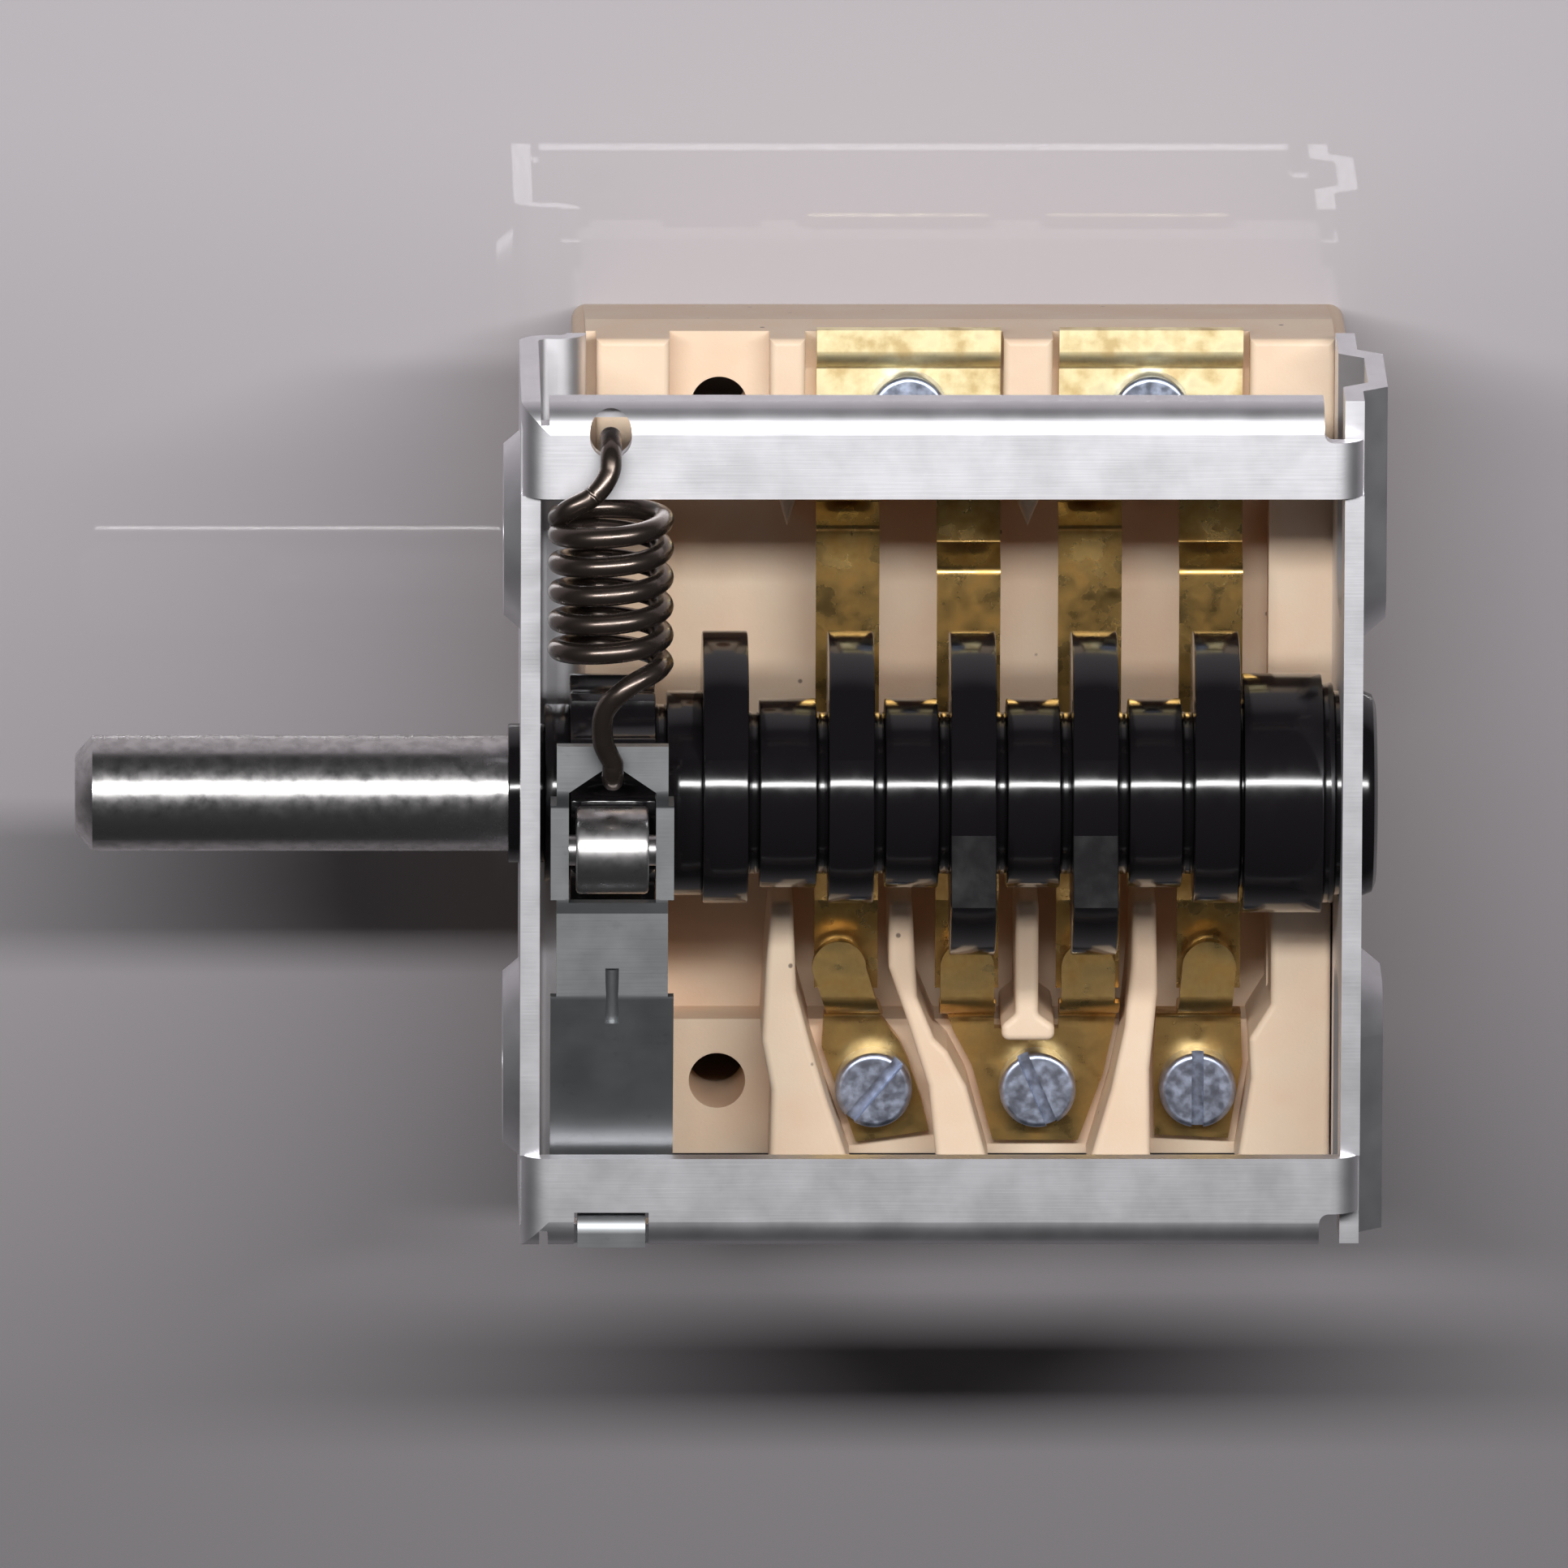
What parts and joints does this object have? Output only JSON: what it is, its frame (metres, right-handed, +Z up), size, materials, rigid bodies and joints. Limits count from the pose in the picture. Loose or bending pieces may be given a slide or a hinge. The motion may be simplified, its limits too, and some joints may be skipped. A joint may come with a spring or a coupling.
{
  "type": "cooktop step switch",
  "caption": "Rotary step switch for a cooktop: a folded steel frame on a ceramic base holds a cam shaft that opens spring contacts, with a roller detent.",
  "frame": {"origin": "on the spindle's axis, at the outer face of the front plate, midway between the fixing holes", "axes": "+X along the spindle from the knob end to the back plate, +Y across the switch towards the detent spring's hole, +Z up from the ceramic base to the frame's open side"},
  "size_m": [0.0677, 0.0446, 0.0373],
  "materials": {
    "zinc_steel": "zinc-plated sheet, satin",
    "steatite": "unglazed cream steatite ceramic",
    "phenolic": "moulded near-black phenolic, semi-gloss",
    "ground_steel": "bright ground steel",
    "lever_steel": "dark plated sheet",
    "spring_steel": "oiled patented spring wire",
    "terminal_brass": "bare pressed brass",
    "strip_bronze": "bare spring bronze",
    "contact_silver": "silver contact rivet, slightly worn",
    "screw_steel": "bluish zinc-plated screw"
  },
  "bodies": {
    "switch_frame": {"frame": "zinc_steel", "ceramic_base": "steatite", "detent_spring": "spring_steel", "north_terminal_1": "terminal_brass", "north_terminal_2": "terminal_brass", "south_terminal_left": "terminal_brass", "south_terminal_middle": "terminal_brass", "south_terminal_right": "terminal_brass", "fixed_contact_1": "contact_silver", "strip_rivet_1": "terminal_brass", "fixed_contact_2": "contact_silver", "strip_rivet_2": "terminal_brass", "fixed_contact_3": "contact_silver", "strip_rivet_3": "terminal_brass", "fixed_contact_4": "contact_silver", "strip_rivet_4": "terminal_brass", "north_screw_1": "screw_steel", "north_screw_2": "screw_steel", "south_screw_left": "screw_steel", "south_screw_middle": "screw_steel", "south_screw_right": "screw_steel"},
    "cam_shaft": {"camshaft": "phenolic", "spindle": "ground_steel"},
    "lever": {"detent_lever": "lever_steel", "roller_pin": "ground_steel"},
    "roller": {"detent_roller": "ground_steel"},
    "contact_1": {"contact_spring_1": "strip_bronze", "moving_contact_1": "contact_silver"},
    "contact_2": {"contact_spring_2": "strip_bronze", "moving_contact_2": "contact_silver"},
    "contact_3": {"contact_spring_3": "strip_bronze", "moving_contact_3": "contact_silver"},
    "contact_4": {"contact_spring_4": "strip_bronze", "moving_contact_4": "contact_silver"}
  },
  "joints": [
    {"name": "spindle_turn", "type": "hinge", "parent": "switch_frame", "child": "cam_shaft", "pos_m": [0, 0, 0], "axis": [1, 0, 0], "continuous": true},
    {"name": "lever_lift", "type": "hinge", "parent": "switch_frame", "child": "lever", "pos_m": [0.00473, -0.0217, 0.0075], "axis": [1, 0, 0], "range_deg": [0, 2.5], "stiffness_Nm_per_rad": 0.3, "springref_deg": -11.46, "deforming": ["detent_spring"]},
    {"name": "roller_spin", "type": "hinge", "parent": "lever", "child": "roller", "pos_m": [0.00473, -0.0012, 0.0079], "axis": [1, 0, 0], "continuous": true},
    {"name": "contact_1_flex", "type": "hinge", "parent": "switch_frame", "child": "contact_1", "pos_m": [0.01713, 0.0145, -0.01107], "axis": [1, 0, 0], "range_deg": [0, 3.6], "stiffness_Nm_per_rad": 0.1, "springref_deg": -5.73, "deforming": ["contact_spring_1"]},
    {"name": "contact_2_flex", "type": "hinge", "parent": "switch_frame", "child": "contact_2", "pos_m": [0.02343, 0.0145, -0.01107], "axis": [1, 0, 0], "range_deg": [0, 3.6], "stiffness_Nm_per_rad": 0.1, "springref_deg": -5.73, "deforming": ["contact_spring_2"]},
    {"name": "contact_3_flex", "type": "hinge", "parent": "switch_frame", "child": "contact_3", "pos_m": [0.02973, 0.0145, -0.01107], "axis": [1, 0, 0], "range_deg": [0, 3.6], "stiffness_Nm_per_rad": 0.1, "springref_deg": -5.73, "deforming": ["contact_spring_3"]},
    {"name": "contact_4_flex", "type": "hinge", "parent": "switch_frame", "child": "contact_4", "pos_m": [0.03603, 0.0145, -0.01107], "axis": [1, 0, 0], "range_deg": [0, 3.6], "stiffness_Nm_per_rad": 0.1, "springref_deg": -5.73, "deforming": ["contact_spring_4"]}
  ]
}
